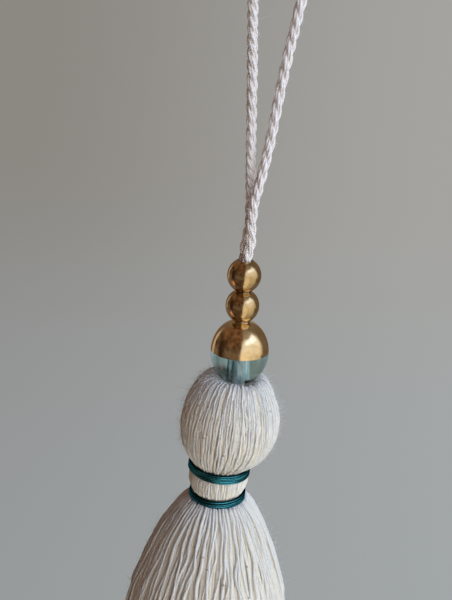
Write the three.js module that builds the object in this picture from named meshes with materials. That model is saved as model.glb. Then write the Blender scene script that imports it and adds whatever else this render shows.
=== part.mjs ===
// A beaded tassel. A hank of soft cotton yarn is folded over a cord and bound twice with thread, so that it
// has a round head, a short neck and a long open skirt. The cord rises from the head through a glass bead
// and two gold beads, and goes round in a loop to hang by.
// Millimetres, +Z up. The origin is the top of the loop's inside, where it rests on whatever holds it.

import * as THREE from "three";

// Pieces that touch in the real tassel are this far apart.
const SEAT = 0.3;

// Cord: three-ply cotton, squeezed flat where two runs of it share a bead's hole.
const CORD_RADIUS = 1.2;
const CORD_SIDES = 8;
const CORD_STEPS = 80;
const CORD_SQUEEZE = 0.5;
const SQUEEZE_FADE = 6;
const MOUTH_CLEARANCE = 3;

// Beads: stock 8 mm gold beads, and a 14 by 16 mm glass bead that is gilded on its upper half.
const GOLD_RADIUS = 4;
const GLASS_RADIUS = 7;
const GLASS_HALF_HEIGHT = 8;
const BORE_RADIUS = 1.75;
const BEAD_SEGMENTS = 32;
const GOLD_ROWS = 12;
const GLASS_ROWS = 18;

// The string of beads hangs a little out of plumb, its lower end towards +X.
const FIRST_BEAD_HEIGHT = -80;
const STRING_LEAN = THREE.MathUtils.degToRad(3.2);

// Yarn: the skirt falls into locks, with grooves between them that deepen towards the hem and end there
// in notches. The drifts move the grooves round the axis, so that the locks differ in width.
const LOCKS = 24;
const COLUMNS_PER_LOCK = 4;
const GROOVE_SHARPNESS = 1.5;
const WIDE_DRIFT = { size: 0.07, waves: 2, start: 0.7 };
const NARROW_DRIFT = { size: 0.045, waves: 5, start: 2 };
const HEAD_GROOVE = 0.2;
const HEM_GROOVE = 2.2;
const HEM_NOTCH = 7;
const HEM_NOTCH_REACH = 12;
const HEM_UNEVENNESS = 2.5;
const LOCK_UNEVENNESS = 0.9;
const SKIRT_TOP = -139;
const HEM = -217;
const PIT_RADIUS = 1.95;
const PLAIN_RADIUS = 3.9;

// Thread bindings: flat rings of wound thread, sunk into the yarn. The lower one sits out of level.
const UPPER_BINDING = { middle: -130.1, height: 2.4, radius: 7.9, thickness: 0.9, shift: -0.35 };
const LOWER_BINDING = { middle: -137.4, height: 2.1, radius: 7.15, thickness: 0.85, shift: -0.2 };
const LOWER_SLOPE = { x: 0.06, y: 0.04 };
const SLOPE_REACH = 6;
const SLOPE_FULL = 0.7;
const BINDING_SEGMENTS = 36;
const BINDING_CORNER_ROWS = 2;

// Sections of the yarn, from the middle of the hem's underside up to the floor of the hole that takes the
// cord's ends. Shift is how far a section's centre lies towards +X. The straight ones meet at corners, and
// each smooth stretch runs as a curve through its sections.
const UNDERSIDE = [
  { radius: 0, height: -213, shift: 0.5 },
  { radius: 9, height: -214, shift: 0.5 },
  { radius: 17, height: -215.5, shift: 0.5 },
  { radius: 22.5, height: -216.5, shift: 0.5 },
];
const SKIRT = [
  { radius: 24.6, height: HEM, shift: 0.5 },
  { radius: 25, height: -210, shift: 0.5 },
  { radius: 24.2, height: -197, shift: 0.5 },
  { radius: 22.6, height: -182, shift: 0.5 },
  { radius: 20.4, height: -168, shift: 0.5 },
  { radius: 17.7, height: -158, shift: 0.6 },
  { radius: 14.7, height: -149.8, shift: 0.6 },
  { radius: 11.8, height: -144.2, shift: 0.6 },
  { radius: 9.5, height: -141, shift: 0.3 },
  { radius: 7.3, height: SKIRT_TOP, shift: -0.1 },
];
const NECK = [
  { radius: 5.9, height: -138.9, shift: -0.2 },
  { radius: 5.9, height: -135.9, shift: -0.2 },
  { radius: 7.1, height: -135.8, shift: -0.2 },
  { radius: 7.6, height: -133.6, shift: -0.3 },
  { radius: 7.6, height: -131.8, shift: -0.35 },
  { radius: 6.6, height: -131.6, shift: -0.35 },
  { radius: 6.6, height: -128.6, shift: -0.35 },
];
const HEAD = [
  { radius: 7.7, height: -128.5, shift: -0.25 },
  { radius: 9.8, height: -126.2, shift: 0.2 },
  { radius: 11.5, height: -122.5, shift: 0.6 },
  { radius: 12.1, height: -118.5, shift: 0.8 },
  { radius: 11.8, height: -114.8, shift: 0.8 },
  { radius: 10.8, height: -111.3, shift: 0.8 },
  { radius: 9.3, height: -108.3, shift: 0.8 },
  { radius: 7.8, height: -106.2, shift: 0.9 },
  { radius: 6.1, height: -105.4, shift: 1.1 },
  { radius: 4.6, height: -105.85, shift: 1.25 },
  { radius: 3, height: -107.05, shift: 1.35 },
];
const PIT = [
  { radius: PIT_RADIUS, height: -107.5, shift: 1.5 },
  { radius: PIT_RADIUS, height: -111.9, shift: 1.7 },
  { radius: 0, height: -111.9, shift: 1.7 },
];
const SKIRT_ROWS = 11;
const HEAD_ROWS = 12;

// Route of the cord's middle, from its end in the head, up the back run, round the loop and down the front
// run. It is drawn unsqueezed: the runs lie one behind the other below the loop and part above it.
const RUN_OFFSET = 1.4;
const BACK_RUN = [
  { x: 1.76, y: RUN_OFFSET, z: -111.5 },
  { x: 1.12, y: RUN_OFFSET, z: -100 },
  { x: 0.56, y: RUN_OFFSET, z: -90 },
  { x: 0, y: RUN_OFFSET, z: -80 },
  { x: -0.23, y: RUN_OFFSET, z: -76 },
  { x: -0.25, y: RUN_OFFSET, z: -72.5 },
  { x: -0.15, y: RUN_OFFSET, z: -69 },
  { x: -0.4, y: RUN_OFFSET, z: -64 },
  { x: -0.9, y: 1.2, z: -59.5 },
  { x: -1.6, y: 0.6, z: -53 },
  { x: -2.6, y: 0.2, z: -43 },
  { x: -3.7, y: 0, z: -32 },
  { x: -5, y: 0, z: -20 },
  { x: -5.9, y: 0, z: -10 },
];
const LOOP_TOP = [
  { x: -6, y: 0, z: -5 },
  { x: -4.3, y: 0, z: -0.6 },
  { x: 0, y: 0, z: CORD_RADIUS },
  { x: 4.3, y: 0, z: -0.6 },
  { x: 6, y: 0, z: -5 },
];
const FRONT_RUN = [
  { x: 5.8, y: 0, z: -10 },
  { x: 4.9, y: 0, z: -20 },
  { x: 3.5, y: 0, z: -32 },
  { x: 2.6, y: -0.2, z: -43 },
  { x: 1.9, y: -0.6, z: -51 },
  { x: 1, y: -1.2, z: -57.5 },
  { x: 0.3, y: -RUN_OFFSET, z: -62 },
  { x: 0.2, y: -RUN_OFFSET, z: -67 },
  { x: 0.4, y: -RUN_OFFSET, z: -71 },
  { x: -0.15, y: -RUN_OFFSET, z: -76 },
  { x: 0, y: -RUN_OFFSET, z: -80 },
  { x: 0.56, y: -RUN_OFFSET, z: -90 },
  { x: 1.12, y: -RUN_OFFSET, z: -100 },
  { x: 1.76, y: -RUN_OFFSET, z: -111.5 },
];

const cottonCord = () => new THREE.MeshStandardMaterial({ color: 0xe6e0d8, roughness: 0.95 });
const cottonYarn = () => new THREE.MeshStandardMaterial({ color: 0xe4dece, roughness: 0.95 });
const greenThread = () => new THREE.MeshStandardMaterial({ color: 0x0c4a4c, roughness: 0.6 });
const polishedGold = () => new THREE.MeshStandardMaterial({ color: 0xc9962f, roughness: 0.15, metalness: 1 });
const tealGlass = () => {
  const look = { color: 0x6f9c96, roughness: 0.05, transparent: true, opacity: 0.6 };
  return new THREE.MeshStandardMaterial(look);
};

// Half the height that a bored bead keeps at the rim of its hole.
function rimHeight(radius, halfHeight) {
  return halfHeight * Math.sqrt(1 - (BORE_RADIUS / radius) ** 2);
}

// Turns a profile of { radius, height } round the vertical axis.
function turned(sections, segments) {
  const profile = sections.map((section) => new THREE.Vector2(section.radius, section.height));
  return new THREE.LatheGeometry(profile, segments).rotateX(Math.PI / 2);
}

// An egg-shaped or round bead with a straight hole along its axis.
function boredBead(radius, halfHeight, rows) {
  const mouthAngle = Math.asin(BORE_RADIUS / radius);
  const outline = [];
  for (let row = 0; row <= rows; row += 1) {
    const angle = Math.PI - THREE.MathUtils.lerp(mouthAngle, Math.PI - mouthAngle, row / rows);
    outline.push({ radius: radius * Math.sin(angle), height: halfHeight * Math.cos(angle) });
  }
  return turned([...outline, outline[0]], BEAD_SEGMENTS);
}

// The beads, strung below one another along the leaning line of the cord.
function beadString() {
  const goldRim = rimHeight(GOLD_RADIUS, GOLD_RADIUS);
  const glassRim = rimHeight(GLASS_RADIUS, GLASS_HALF_HEIGHT);
  const lowerGoldDrop = 2 * goldRim + SEAT;
  const glassDrop = lowerGoldDrop + goldRim + SEAT + glassRim;

  const upperGold = new THREE.Mesh(boredBead(GOLD_RADIUS, GOLD_RADIUS, GOLD_ROWS), polishedGold());
  upperGold.name = "bead_gold_upper";
  const lowerGold = new THREE.Mesh(boredBead(GOLD_RADIUS, GOLD_RADIUS, GOLD_ROWS), polishedGold());
  lowerGold.name = "bead_gold_lower";
  lowerGold.position.z = -lowerGoldDrop;
  const glass = new THREE.Mesh(boredBead(GLASS_RADIUS, GLASS_HALF_HEIGHT, GLASS_ROWS), tealGlass());
  glass.name = "bead_glass";
  glass.position.z = -glassDrop;

  const string = new THREE.Group();
  string.position.z = FIRST_BEAD_HEIGHT;
  string.rotation.y = -STRING_LEAN;
  string.add(upperGold, lowerGold, glass);
  return string;
}

// How much the pair of runs keeps of its depth at a height: all of it above the beads, half inside them.
function squeezeAt(height) {
  const mouth = FIRST_BEAD_HEIGHT + rimHeight(GOLD_RADIUS, GOLD_RADIUS) + MOUTH_CLEARANCE;
  const freedom = THREE.MathUtils.smoothstep(height, mouth, mouth + SQUEEZE_FADE);
  return THREE.MathUtils.lerp(CORD_SQUEEZE, 1, freedom);
}

function hangingCord() {
  const route = [...BACK_RUN, ...LOOP_TOP, ...FRONT_RUN].map(({ x, y, z }) => new THREE.Vector3(x, y, z));
  const section = new THREE.Shape().absarc(0, 0, CORD_RADIUS, 0, 2 * Math.PI);
  const geometry = new THREE.ExtrudeGeometry(section, {
    steps: CORD_STEPS,
    curveSegments: CORD_SIDES / 2,
    extrudePath: new THREE.CatmullRomCurve3(route),
    bevelEnabled: false,
  });
  const position = geometry.attributes.position;
  for (let i = 0; i < position.count; i += 1) {
    position.setY(i, position.getY(i) * squeezeAt(position.getZ(i)));
  }
  const cord = new THREE.Mesh(geometry, cottonCord());
  cord.name = "hanging_cord";
  return cord;
}

// A wound ring of thread with a rounded outer face.
function bindingRing({ height, radius, thickness }) {
  const corner = Math.min(thickness, height / 2) * 0.6;
  const inner = radius - thickness;
  const face = [];
  for (let row = 0; row <= BINDING_CORNER_ROWS; row += 1) {
    const angle = (row / BINDING_CORNER_ROWS) * (Math.PI / 2);
    face.push({
      radius: radius - corner + corner * Math.sin(angle),
      height: -height / 2 + corner - corner * Math.cos(angle),
    });
  }
  const upperFace = face.map((point) => ({ radius: point.radius, height: -point.height })).reverse();
  const innerFoot = { radius: inner, height: -height / 2 };
  const innerTop = { radius: inner, height: height / 2 };
  return turned([innerFoot, ...face, ...upperFace, innerTop, innerFoot], BINDING_SEGMENTS);
}

function binding(name, size, slope) {
  const ring = new THREE.Mesh(bindingRing(size), greenThread());
  ring.name = name;
  ring.position.set(size.shift, 0, size.middle);
  ring.rotation.set(Math.atan(slope.y), -Math.atan(slope.x), 0);
  return ring;
}

// Points along a smooth curve through some sections, as sections.
function smooth(sections, rows) {
  const knots = sections.map(({ radius, height, shift }) => new THREE.Vector3(radius, height, shift));
  const points = new THREE.CatmullRomCurve3(knots).getPoints(rows);
  return points.map((point) => ({ radius: point.x, height: point.y, shift: point.z }));
}

// A steady, patternless number from 0 to 1 for each lock of yarn.
function varied(lock, salt) {
  const wave = Math.sin((lock + 1) * 12.9898 + salt * 78.233) * 43758.5453;
  return wave - Math.floor(wave);
}

// How deep a column of the surface lies in the groove beside its lock: 1 between locks, 0 on the crest.
function grooveShare(column) {
  const phase = (column % COLUMNS_PER_LOCK) / COLUMNS_PER_LOCK;
  return ((1 + Math.cos(2 * Math.PI * phase)) / 2) ** GROOVE_SHARPNESS;
}

function drift({ size, waves, start }, angle) {
  return size * Math.sin(waves * angle + start);
}

// How far a column's surface lies inside its section's radius. The parts round the axis stay plain.
function inset(radius, height, lock, share) {
  if (radius <= PLAIN_RADIUS) {
    return 0;
  }
  const down = THREE.MathUtils.smoothstep(-height, -SKIRT_TOP, -HEM);
  const headGroove = height > UPPER_BINDING.middle + UPPER_BINDING.height / 2 ? HEAD_GROOVE : 0;
  const skirtGroove = HEM_GROOVE * Math.sqrt(down) * (0.5 + varied(lock, 1));
  const stray = LOCK_UNEVENNESS * down * varied(lock, 4);
  return THREE.MathUtils.lerp(stray, headGroove + skirtGroove, share);
}

// How far a column's end lies above the hem's level: up in the notches, and uneven from lock to lock.
function hemLift(radius, height, lock, share) {
  const nearHem = THREE.MathUtils.smoothstep(-height, -HEM - HEM_NOTCH_REACH, -HEM);
  const notch = HEM_NOTCH * (0.5 + varied(lock, 3));
  const unevenness = HEM_UNEVENNESS * (2 * varied(lock, 2) - 1);
  return nearHem * Math.min(1, radius / SKIRT[0].radius) * THREE.MathUtils.lerp(unevenness, notch, share);
}

// The slope of the lower binding, which the yarn on both sides of it follows and then loses.
function bindingSlope(x, y, height) {
  const share = 1 - Math.abs(height - LOWER_BINDING.middle) / SLOPE_REACH;
  return THREE.MathUtils.smoothstep(share, 0, SLOPE_FULL) * (LOWER_SLOPE.x * x + LOWER_SLOPE.y * y);
}

// The yarn's surface at one section and one column.
function yarnPoint({ radius, height, shift }, column) {
  const columns = LOCKS * COLUMNS_PER_LOCK;
  const around = column % columns;
  const lock = Math.floor(around / COLUMNS_PER_LOCK);
  const share = grooveShare(around);
  const even = (around / columns) * 2 * Math.PI;
  const angle = even + drift(WIDE_DRIFT, even) + drift(NARROW_DRIFT, even);
  const reach = radius - inset(radius, height, lock, share);
  const x = reach * Math.cos(angle);
  const y = reach * Math.sin(angle);
  const z = height + hemLift(radius, height, lock, share) + bindingSlope(x, y, height);
  return new THREE.Vector3(shift + x, y, z);
}

// The whole hank as one solid: hem, skirt, neck with its two sunk bands, head and the hole in its top.
function yarnBundle() {
  const sections = [...UNDERSIDE, ...smooth(SKIRT, SKIRT_ROWS), ...NECK, ...smooth(HEAD, HEAD_ROWS), ...PIT];
  const columns = LOCKS * COLUMNS_PER_LOCK;
  const geometry = turned(sections, columns);
  const position = geometry.attributes.position;
  for (let column = 0; column <= columns; column += 1) {
    sections.forEach((section, row) => {
      const point = yarnPoint(section, column);
      position.setXYZ(column * sections.length + row, point.x, point.y, point.z);
    });
  }
  const yarn = new THREE.Mesh(geometry, cottonYarn());
  yarn.name = "yarn_bundle";
  return yarn;
}

const tassel = new THREE.Group();
tassel.add(
  hangingCord(),
  beadString(),
  yarnBundle(),
  binding("binding_upper", UPPER_BINDING, { x: 0, y: 0 }),
  binding("binding_lower", LOWER_BINDING, LOWER_SLOPE),
);

export default tassel;
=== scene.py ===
# %% [markdown]
# # A beaded tassel
# A hank of soft cotton yarn is folded over a cord, bound twice with green thread and left to hang open
# below. The cord rises from its head through a half-gilded glass bead and two gold beads, and ends in a
# loop. The solids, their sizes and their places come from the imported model. This lesson dresses them: it
# lays real strands on the yarn's solid, twists the cord from its plies, winds the thread and polishes the
# beads.

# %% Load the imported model
import math

import bmesh
import bpy
import numpy as np
from mathutils import Matrix, Vector


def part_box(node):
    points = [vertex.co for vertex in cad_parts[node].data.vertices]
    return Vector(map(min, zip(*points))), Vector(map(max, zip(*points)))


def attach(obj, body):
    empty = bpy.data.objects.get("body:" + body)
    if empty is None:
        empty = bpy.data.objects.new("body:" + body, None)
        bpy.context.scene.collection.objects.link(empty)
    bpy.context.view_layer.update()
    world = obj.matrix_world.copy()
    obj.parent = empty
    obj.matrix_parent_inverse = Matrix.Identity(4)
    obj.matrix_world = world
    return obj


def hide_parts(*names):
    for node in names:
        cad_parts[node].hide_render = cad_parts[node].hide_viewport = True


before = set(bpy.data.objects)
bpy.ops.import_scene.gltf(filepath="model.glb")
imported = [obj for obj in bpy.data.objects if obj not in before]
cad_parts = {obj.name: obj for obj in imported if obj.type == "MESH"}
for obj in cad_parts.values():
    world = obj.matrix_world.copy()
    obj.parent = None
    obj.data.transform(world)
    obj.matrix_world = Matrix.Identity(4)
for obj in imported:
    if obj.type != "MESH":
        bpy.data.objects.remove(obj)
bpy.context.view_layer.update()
MM = 0.001
dice = np.random.default_rng(7)
print("packed pieces:", sorted(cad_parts))


# %% [markdown]
# ## The camera
# It stands in front of the beads, a little above them, and looks down at the head and the skirt. The
# tassel hangs plumb, and the camera is the thing that leans: its upright is turned a few degrees from the
# plumb line. The camera is aimed from a packed bead, so it follows the model if that is ever rebuilt.

# %% Place the camera
PITCH = math.radians(18.7)
ROLL = math.radians(6.5)
CAMERA_DISTANCE = 212.4 * MM
FOCAL_LENGTH = 54
SENSOR_WIDTH = 36
AIM_FROM_LOWER_BEAD = Vector((-4.0, 0, 0.9)) * MM


def middle(node):
    low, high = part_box(node)
    return (low + high) / 2


def add_camera():
    forward = Vector((0, math.cos(PITCH), -math.sin(PITCH)))
    level = Vector((1, 0, 0))
    upright = level.cross(forward)
    right = math.cos(ROLL) * level + math.sin(ROLL) * upright
    up = math.cos(ROLL) * upright - math.sin(ROLL) * level
    camera = bpy.data.objects.new("camera", bpy.data.cameras.new("camera"))
    camera.data.lens = FOCAL_LENGTH
    camera.data.sensor_width = SENSOR_WIDTH
    camera.data.clip_start = 0.01
    turn = Matrix((right, up, -forward)).transposed().to_4x4()
    aim = middle("bead_gold_lower") + AIM_FROM_LOWER_BEAD
    camera.matrix_world = Matrix.Translation(aim - forward * CAMERA_DISTANCE) @ turn
    bpy.context.scene.collection.objects.link(camera)
    bpy.context.scene.camera = camera
    return camera


camera = add_camera()
print("camera at", [round(x / MM, 1) for x in camera.location], "mm")


# %% [markdown]
# ## Strands
# Cord, yarn, thread and stray fibres are all the same thing at different sizes: a long thin tube that
# follows a line. Hair curves would be quick to set up, but they have no UV map that a twist could follow.
# Here one helper makes a straight unit tube by wrapping a grid round, an Array modifier repeats it, and the
# copies are then laid along their own lines. In the UV map, u counts the strands and goes once round each
# of them, and v is the distance along a strand in millimetres.

# %% Lines
FINE_STEPS = 1600


def smooth_line(points, count):
    """Evenly spaced points on a smooth curve through the given ones."""
    points = np.array(points, float)
    knots = np.concatenate([[0], np.cumsum(np.linalg.norm(np.diff(points, axis=0), axis=1))])
    slopes = np.gradient(points, knots, axis=0)
    at = np.linspace(0, knots[-1], FINE_STEPS)
    i = np.clip(np.searchsorted(knots, at, side="right") - 1, 0, len(knots) - 2)
    span = (knots[i + 1] - knots[i])[:, None]
    t = (at - knots[i])[:, None] / span
    start = (2 * t**3 - 3 * t**2 + 1) * points[i] + (t**3 - 2 * t**2 + t) * span * slopes[i]
    end = (3 * t**2 - 2 * t**3) * points[i + 1] + (t**3 - t**2) * span * slopes[i + 1]
    return respaced(start + end, count)


def respaced(line, count):
    along = np.concatenate([[0], np.cumsum(np.linalg.norm(np.diff(line, axis=0), axis=1))])
    even = np.linspace(0, along[-1], count)
    return np.stack([np.interp(even, along, line[:, k]) for k in range(line.shape[1])], axis=1)


def unit(vectors):
    return vectors / np.maximum(np.linalg.norm(vectors, axis=-1, keepdims=True), 1e-12)


def directions(lines):
    """The way each line runs at each of its points."""
    return unit(np.gradient(lines, axis=-2))


def wander(count, along, wavelength, size):
    """A smooth random offset along each of several strands, about size large."""
    cells = int(along.max() / wavelength) + 3
    knots = dice.normal(0, size, (count, cells))
    place = along / wavelength + dice.random((count, 1))
    i = np.clip(place.astype(int), 0, cells - 2)
    t = place - i
    t = t * t * (3 - 2 * t)
    rows = np.arange(count)[:, None]
    return (1 - t) * knots[rows, i] + t * knots[rows, i + 1]


# %% Tubes along lines
def new_object(name, bm):
    """Makes an object of a bmesh, with a closed shell's faces turned outwards."""
    closed = not any(edge.is_boundary for edge in bm.edges)
    if closed and bm.calc_volume(signed=True) < 0:
        bmesh.ops.reverse_faces(bm, faces=bm.faces)
    mesh = bpy.data.meshes.new(name)
    bm.to_mesh(mesh)
    bm.free()
    mesh.shade_smooth()
    made = bpy.data.objects.new(name, mesh)
    bpy.context.scene.collection.objects.link(made)
    return made


def unit_tube(rings, sides):
    """A closed tube of radius 1, its rings one unit apart along Z, wrapped from a grid with a UV map."""
    bm = bmesh.new()
    bm.loops.layers.uv.new("UVMap")
    bmesh.ops.create_grid(bm, x_segments=sides, y_segments=rings - 1, size=0.5, calc_uvs=True)
    for vert in bm.verts:
        angle = (vert.co.x + 0.5) * math.tau
        ring = round((vert.co.y + 0.5) * (rings - 1))
        width = 0 if ring in (0, rings - 1) else 1
        vert.co = (width * math.cos(angle), width * math.sin(angle), ring)
    bmesh.ops.remove_doubles(bm, verts=bm.verts, dist=1e-3)
    bmesh.ops.recalc_face_normals(bm, faces=bm.faces)
    return bm


def repeated(made, count, step):
    """Copies the object's mesh along Z with an Array modifier, and applies it."""
    copies = made.modifiers.new("copies", "ARRAY")
    copies.count = count
    copies.use_relative_offset = False
    copies.use_constant_offset = True
    copies.constant_offset_displace = (0, 0, step)
    graph = bpy.context.evaluated_depsgraph_get()
    mesh = bpy.data.meshes.new_from_object(made.evaluated_get(graph))
    made.modifiers.clear()
    plain, made.data = made.data, mesh
    bpy.data.meshes.remove(plain)
    mesh.name = made.name


# %% Lay the copies along their lines
def vertex_places(mesh):
    flat = np.zeros(len(mesh.vertices) * 3, np.float32)
    mesh.vertices.foreach_get("co", flat)
    return flat.reshape(-1, 3).astype(float)


def move_vertices(mesh, places):
    mesh.vertices.foreach_set("co", places.astype(np.float32).ravel())
    mesh.update()


def lay_tubes(name, lines, radii, outward, sides, flat=1.0):
    """Tubes along lines, in millimetres: lines (count, rings, 3), radii (count, rings), outward like lines.

    Flat is a tube's thickness outward as a share of its width.
    """
    count, rings, _ = lines.shape
    step = 2 * rings
    made = new_object(name, unit_tube(rings, sides))
    repeated(made, count, step)
    mesh = made.data
    x, y, z = vertex_places(mesh).T
    strand = np.floor((z + 0.5) / step).astype(int)
    ring = np.rint(z - strand * step).astype(int)

    forward = directions(lines)
    across = unit(outward - (outward * forward).sum(-1, keepdims=True) * forward)
    side = np.cross(forward, across)
    reach = flat * x[:, None] * across[strand, ring] + y[:, None] * side[strand, ring]
    places = lines[strand, ring] + radii[strand, ring][:, None] * reach
    move_vertices(mesh, places * MM)

    along = np.cumsum(np.linalg.norm(np.diff(lines, axis=1, prepend=lines[:, :1]), axis=2), axis=1)
    corner = np.zeros(len(mesh.loops), np.int32)
    mesh.loops.foreach_get("vertex_index", corner)
    uv = np.zeros(len(mesh.loops) * 2, np.float32)
    mesh.uv_layers[0].data.foreach_get("uv", uv)
    uv = uv.reshape(-1, 2)
    uv[:, 0] += strand[corner]
    uv[:, 1] = along[strand[corner], ring[corner]]
    mesh.uv_layers[0].data.foreach_set("uv", uv.ravel())
    print(f"{name}: {count} strands, {len(mesh.polygons)} faces")
    return made


# %% Cut ends and dressing
CUT_CROWN = 0.02


def blunt(lines):
    """Brings each strand's end points up to its last full rings, so that its ends are cut almost flat."""
    lines = lines.copy()
    for end, ring in ((0, 1), (-1, -2)):
        lines[:, end] = lines[:, ring] + (lines[:, end] - lines[:, ring]) * CUT_CROWN
    return lines


def dress(made, material, slot, *nodes):
    """Gives a piece its material and its place on the model, and hides the solids that it stands for."""
    if not made.data.materials:
        made.data.materials.append(material)
    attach(made, "root")
    if nodes:
        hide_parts(*nodes)
    return made


# %% [markdown]
# ## Shader maths
# A wrapped socket lets a shader read as arithmetic. Each operator adds one Math node, every other node
# comes from a single method, and the few that are used again and again have short methods of their own.

# %% A socket with arithmetic
class Wire:
    """An output socket of a material, with Math nodes behind its operators."""

    def __init__(self, tree, socket=None):
        self.tree = tree
        self.socket = socket

    def node(self, kind, settings=None, inputs=None, output=0):
        """Adds a node: its kind, its settings, what its sockets get, and which output to go on from."""
        made = self.tree.nodes.new("ShaderNode" + kind)
        settings = dict(settings or {})
        stops = settings.pop("stops", [])
        for name, value in settings.items():
            setattr(made, name, value)
        for place, shade in stops[1:-1]:
            made.color_ramp.elements.new(place).color = (*shade, 1)
        for end in (0, -1) if stops else ():
            element = made.color_ramp.elements[end]
            element.position, element.color = stops[end][0], (*stops[end][1], 1)
        for key, value in (inputs or {}).items():
            if isinstance(value, Wire):
                self.tree.links.new(value.socket, made.inputs[key])
            else:
                made.inputs[key].default_value = value
        return Wire(self.tree, made.outputs[output] if made.outputs else None)

    def math(self, operation, *values):
        inputs = dict(enumerate((self, *values)))
        return self.node("Math", {"operation": operation}, inputs)

    def __add__(self, other):
        return self.math("ADD", other)

    def __sub__(self, other):
        return self.math("SUBTRACT", other)

    def __rsub__(self, other):
        return self.math("MULTIPLY", -1.0) + other

    def __mul__(self, other):
        return self.math("MULTIPLY", other)

    def __mod__(self, other):
        return self.math("FLOORED_MODULO", other)

    def __gt__(self, other):
        return self.math("GREATER_THAN", other)

    __radd__ = __add__
    __rmul__ = __mul__

    def floor(self):
        return self.math("FLOOR")

    def rise(self, start, end):
        """From 0 at start to 1 at end, smoothly. It falls where end is below start."""
        inputs = {0: self, 1: start, 2: end}
        return self.node("MapRange", {"interpolation_type": "SMOOTHSTEP"}, inputs)

    def band(self, start, full, fading, end):
        """1 from full to fading, easing to 0 at start and at end."""
        return self.rise(start, full) * self.rise(end, fading)

    def vector(self, y=0.0, z=0.0):
        return self.node("CombineXYZ", None, {0: self, 1: y, 2: z})

    def parts(self):
        """The three parts of a vector."""
        return [self.node("SeparateXYZ", None, {0: self}, part) for part in range(3)]

    def stretched(self, *scale):
        return self.node("Mapping", None, {"Vector": self, "Scale": scale})

    def noise(self, detail, scale=1.0, roughness=0.5, dimensions="3D"):
        """Cloudy noise at this place, which in 1D is a single number."""
        place = "W" if dimensions == "1D" else "Vector"
        inputs = {place: self, "Scale": scale, "Detail": detail, "Roughness": roughness}
        return self.node("TexNoise", {"noise_dimensions": dimensions}, inputs)

    def lot(self, dimensions="1D", output="Value"):
        """A random number or colour that is always the same for the same value or place."""
        place = "W" if dimensions == "1D" else "Vector"
        return self.node("TexWhiteNoise", {"noise_dimensions": dimensions}, {place: self}, output)

    def bump(self, strength, distance):
        """This height as a bump, with its distance in millimetres."""
        return self.node("Bump", None, {"Height": self, "Strength": strength, "Distance": distance * MM})

    def mix(self, low, high):
        """A colour between low and high, by this value."""
        return self.node("Mix", {"data_type": "RGBA"}, {0: self, 6: low, 7: high}, 2)


# %% Helpers for materials
def colour(red, green, blue):
    return (red, green, blue, 1)


def start_material(name):
    material = bpy.data.materials.new(name)
    material.use_nodes = True
    material.node_tree.nodes.clear()
    return material, Wire(material.node_tree)


def finish_material(material, wire, inputs):
    surface = wire.node("BsdfPrincipled", None, inputs)
    wire.node("OutputMaterial", {"target": "ALL"}, {"Surface": surface})
    return material


def strand_place(wire):
    """How far round its strand a point is, from 0 to 1, how far along it, and the strand's number."""
    u, v, _ = wire.node("UVMap", {"uv_map": "UVMap"}).parts()
    return u % 1.0, v, u.floor()


def centred(turn):
    """A turn from 0 to 1 as its distance from the half turn, from 0 to 1."""
    return (turn - 0.5).math("ABSOLUTE") * 2.0


# %% [markdown]
# ## The cotton
# Soft single cotton yarn is a loose bundle of fibres with hardly any twist. It is cream, a little lighter
# or darker from one strand to the next and along each strand, and a recycled fibre shows here and there as
# a coloured speck. A pattern in plain space would run straight across neighbouring strands, so this one
# lies in their UV map: the fibres are a steep spiral with a fine bump. Shade is painted into the colour:
# the side that faces into the bundle, the twist's grooves and the dips go over to a darker, warmer tone.
# One function makes four cottons: the head's yarn; a dimmer copy for skirt and neck, darker as painted
# shade; a darker, warmer copy for the strands deeper in, painted as the shade that falls there; and the
# cord, which is whiter, smoother and twisted harder.

# %% Cotton materials
FLECKS_ABOVE = 0.9965
FLECK_HUES = [(0.0, (0.60, 0.25, 0.20)), (0.3, (0.25, 0.38, 0.54)), (0.6, (0.27, 0.20, 0.14))]
FIBRE_RELIEF = 0.16


def cotton(name, light, dark, painted_shade, twist, relief, flecks=True):
    """Yarn between light and dark, going over to a painted shade colour in its dips, in its twist's grooves
    and on its inner side.
    """
    material, wire = start_material(name)
    around, along, strand = strand_place(wire)
    tone = strand.lot()
    slub = (strand * 3.7).vector(along * 0.35).noise(3.0, dimensions="2D")
    base = (tone * 0.5 + slub * 1.3 - 0.4).mix(dark, light)

    spiral = around + along * twist
    fibre = (spiral * 8.0).vector(along * 1.1, strand * 5.3).noise(3.0, roughness=0.65)
    base = (fibre * 1.6 - 0.4).mix(base, light)
    wound = centred((around + along * 1.15 + slub * 0.8 + tone * 5.0) % 1.0)
    # Painted shade: the twist's grooves go a little towards the shade colour.
    base = (wound.rise(0.62, 1.0) * 0.2).mix(base, painted_shade)
    fine_dips = (around * 7.0).vector(along * 4.2, strand * 2.9).noise(1.0)
    # Painted shade in the small dips of a fine noise.
    base = (fine_dips.rise(0.5, 0.3) * 0.75).mix(base, painted_shade)
    facing_in = 1.0 - centred(around)
    # Painted shade on the side of each strand that faces into the bundle.
    base = facing_in.rise(0.12, 0.62).mix(base, painted_shade)
    lump = (strand * 9.1).vector(along * 1.5, around * 2.0).noise(2.0)
    # Painted shade where the lump noise dips.
    base = (lump * 2.2 - 0.75).mix(painted_shade, base)
    if flecks:
        place = strand.vector((along * 2.2 + tone * 7.0).floor())
        choice = wire.node("SeparateColor", None, {0: place.lot("2D", "Color")}, 1)
        fleck = wire.node("ValToRGB", {"stops": FLECK_HUES}, {"Fac": choice})
        base = ((place.lot("2D") > FLECKS_ABOVE) * fibre.rise(0.42, 0.5) * 0.75).mix(base, fleck)

    height = fibre * 0.7 + lump * 1.5 + fine_dips * 0.8 - wound * 0.3
    surface = {
        "Base Color": base,
        "Roughness": 0.95,
        "Normal": height.bump(relief, FIBRE_RELIEF),
        "Sheen Weight": 0.12,
        "Sheen Roughness": 0.5,
        "Sheen Tint": colour(0.93, 0.94, 1.0),
        "Specular IOR Level": 0.1,
    }
    return finish_material(material, wire, surface)
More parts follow.
